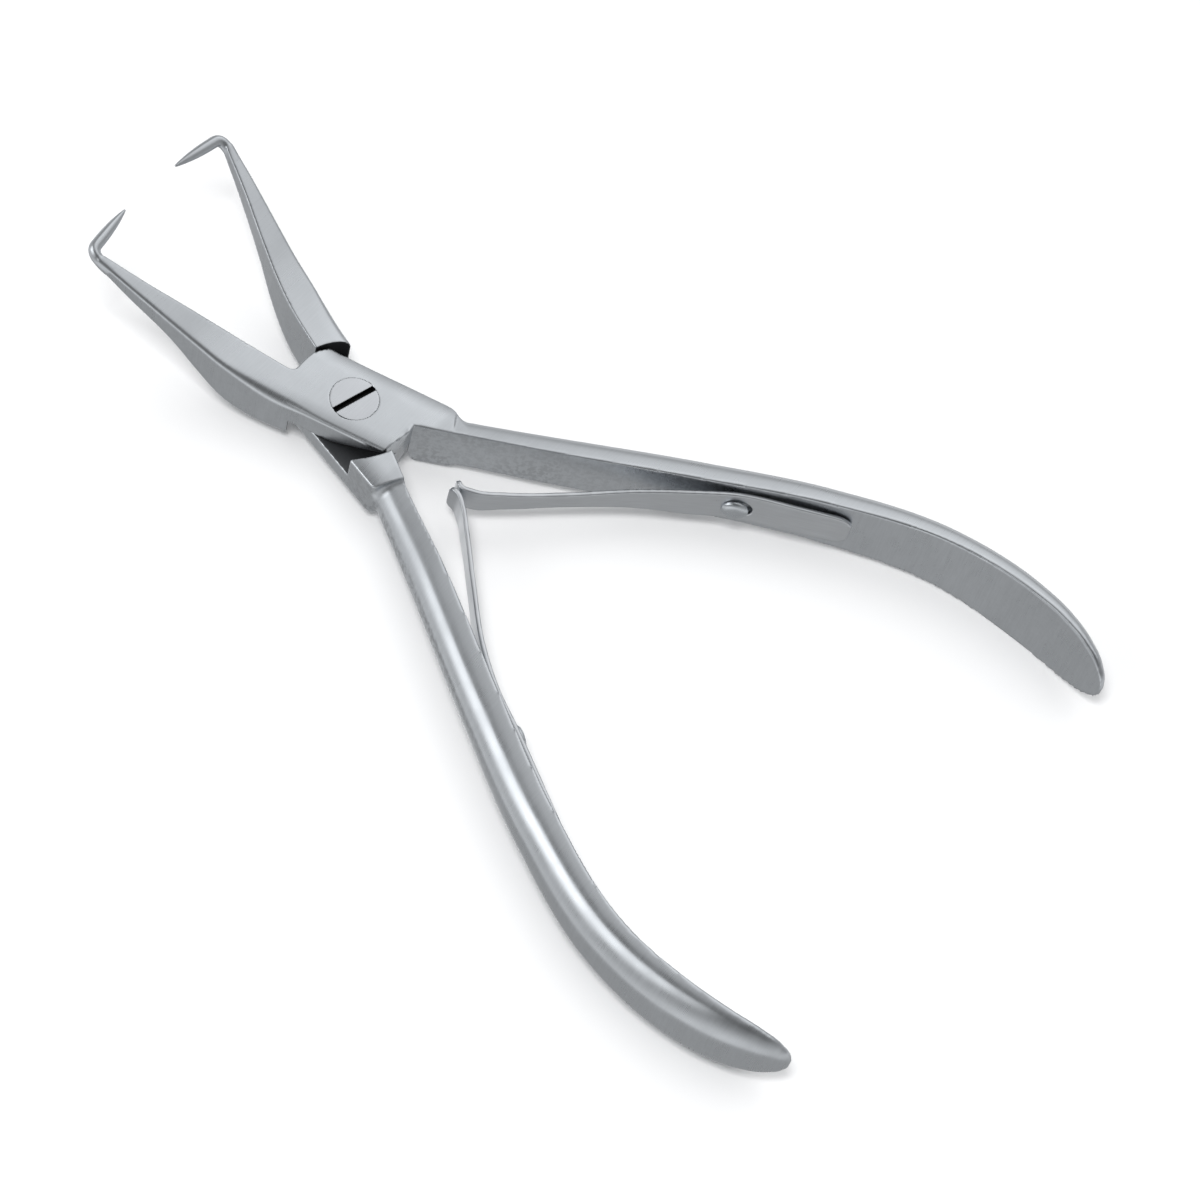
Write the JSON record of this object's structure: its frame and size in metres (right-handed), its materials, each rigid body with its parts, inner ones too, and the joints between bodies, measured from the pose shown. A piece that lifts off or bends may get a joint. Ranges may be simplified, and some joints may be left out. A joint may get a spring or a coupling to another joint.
{
  "type": "crimping pliers",
  "caption": "Lap-joint jewellery pliers with slender upswept jaws that end in inward hooks, a slotted pivot screw and leaf springs between curved handles.",
  "frame": {"origin": "on the pivot axis, at the flat tail face of the pivot screw", "axes": "+X from the pivot to the hooked tips, +Z along the pivot axis towards the slotted head, +Y towards the upper half's jaw"},
  "size_m": [0.1324, 0.0806, 0.0205],
  "materials": {
    "half_steel": "fine satin brush, long edges slightly polished",
    "screw_steel": "satin, ground flush with the joint, dark slot",
    "spring_steel": "grey rolled strip, sheared edges",
    "rivet_steel": "tumbled dome"
  },
  "bodies": {
    "lower_half": {"lower_half": "half_steel", "pivot_screw": "screw_steel", "lower_spring_rivet": "rivet_steel"},
    "upper_half": {"upper_half": "half_steel", "upper_spring_rivet": "rivet_steel"},
    "upper_spring": {"upper_leaf_spring": "spring_steel"},
    "lower_spring": {"lower_leaf_spring": "spring_steel"}
  },
  "joints": [
    {"name": "main_pivot", "type": "hinge", "parent": "lower_half", "child": "upper_half", "pos_m": [0, 0, 0.00375], "axis": [0, 0, -1], "range_deg": [0, 15.2], "stiffness_Nm_per_rad": 2},
    {"name": "upper_spring_flex", "type": "hinge", "parent": "upper_half", "child": "upper_spring", "pos_m": [-0.041, -0.02, 0.0048], "axis": [0, 0, -1], "range_deg": [0, 5.3], "deforming": ["upper_leaf_spring"]},
    {"name": "lower_spring_flex", "type": "hinge", "parent": "lower_half", "child": "lower_spring", "pos_m": [-0.041, 0.02, 0.0048], "axis": [0, 0, 1], "range_deg": [0, 5.3], "deforming": ["lower_leaf_spring"]}
  ],
  "couplings": [
    {"joint": "upper_spring_flex", "follows": "main_pivot", "ratio": 0.34},
    {"joint": "lower_spring_flex", "follows": "main_pivot", "ratio": 0.34}
  ]
}
